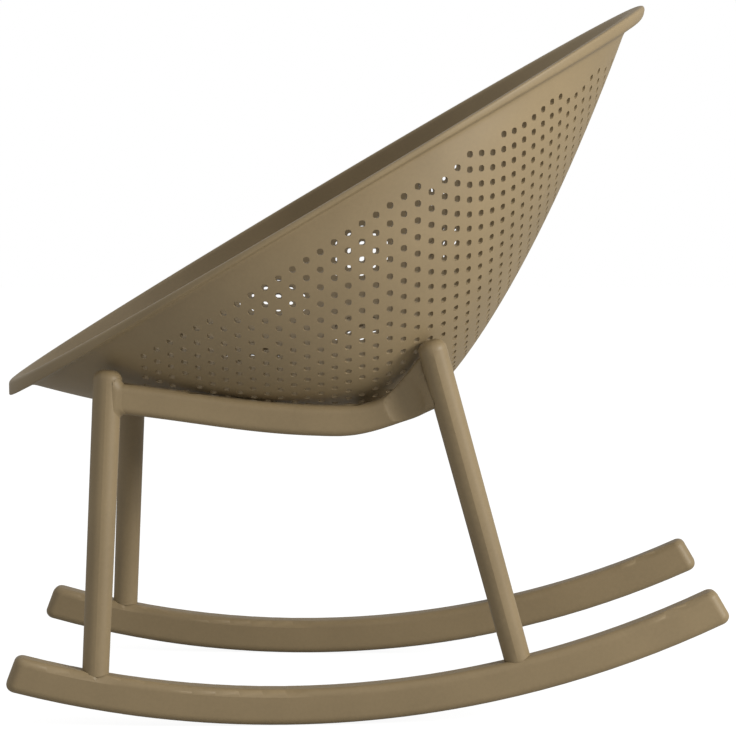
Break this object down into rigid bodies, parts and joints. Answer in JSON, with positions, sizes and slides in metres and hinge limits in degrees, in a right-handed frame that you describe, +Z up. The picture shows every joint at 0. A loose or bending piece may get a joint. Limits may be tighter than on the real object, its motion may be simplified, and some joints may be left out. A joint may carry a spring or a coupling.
{
  "type": "rocking chair",
  "caption": "Rocking chair with an elliptical perforated bucket shell of moulded plastic on splayed round legs and two bent rockers.",
  "frame": {"origin": "on the floor, under the middle of the chair's bounding box", "axes": "+Z up, the sitter faces -Y, +X is the sitter's left"},
  "size_m": [0.712, 0.8767, 0.8546],
  "materials": {
    "seat_shell": "moulded, fine matt grain",
    "frame_plastic": "moulded, matt",
    "leg_plastic": "moulded, matt",
    "rocker_plastic": "moulded, matt",
    "tread_rubber": "ribbed",
    "screw_steel": "zinc plated",
    "insert_brass": "turned"
  },
  "bodies": {
    "root": {"seat_shell": "seat_shell", "side_rail_left": "frame_plastic", "side_rail_right": "frame_plastic", "front_cross_bar": "frame_plastic", "rear_cross_bar": "frame_plastic", "front_leg_left": "leg_plastic", "front_leg_right": "leg_plastic", "rear_leg_left": "leg_plastic", "rear_leg_right": "leg_plastic", "rocker_left": "rocker_plastic", "rocker_right": "rocker_plastic", "tread_strip_left": "tread_rubber", "tread_strip_right": "tread_rubber", "shell_screws": "screw_steel", "shell_washers": "screw_steel", "shell_inserts": "insert_brass", "leg_bolts": "screw_steel", "leg_washers": "screw_steel", "leg_inserts": "insert_brass", "foot_screws": "screw_steel", "foot_plugs": "frame_plastic", "cross_bar_screws": "screw_steel"}
  },
  "joints": []
}
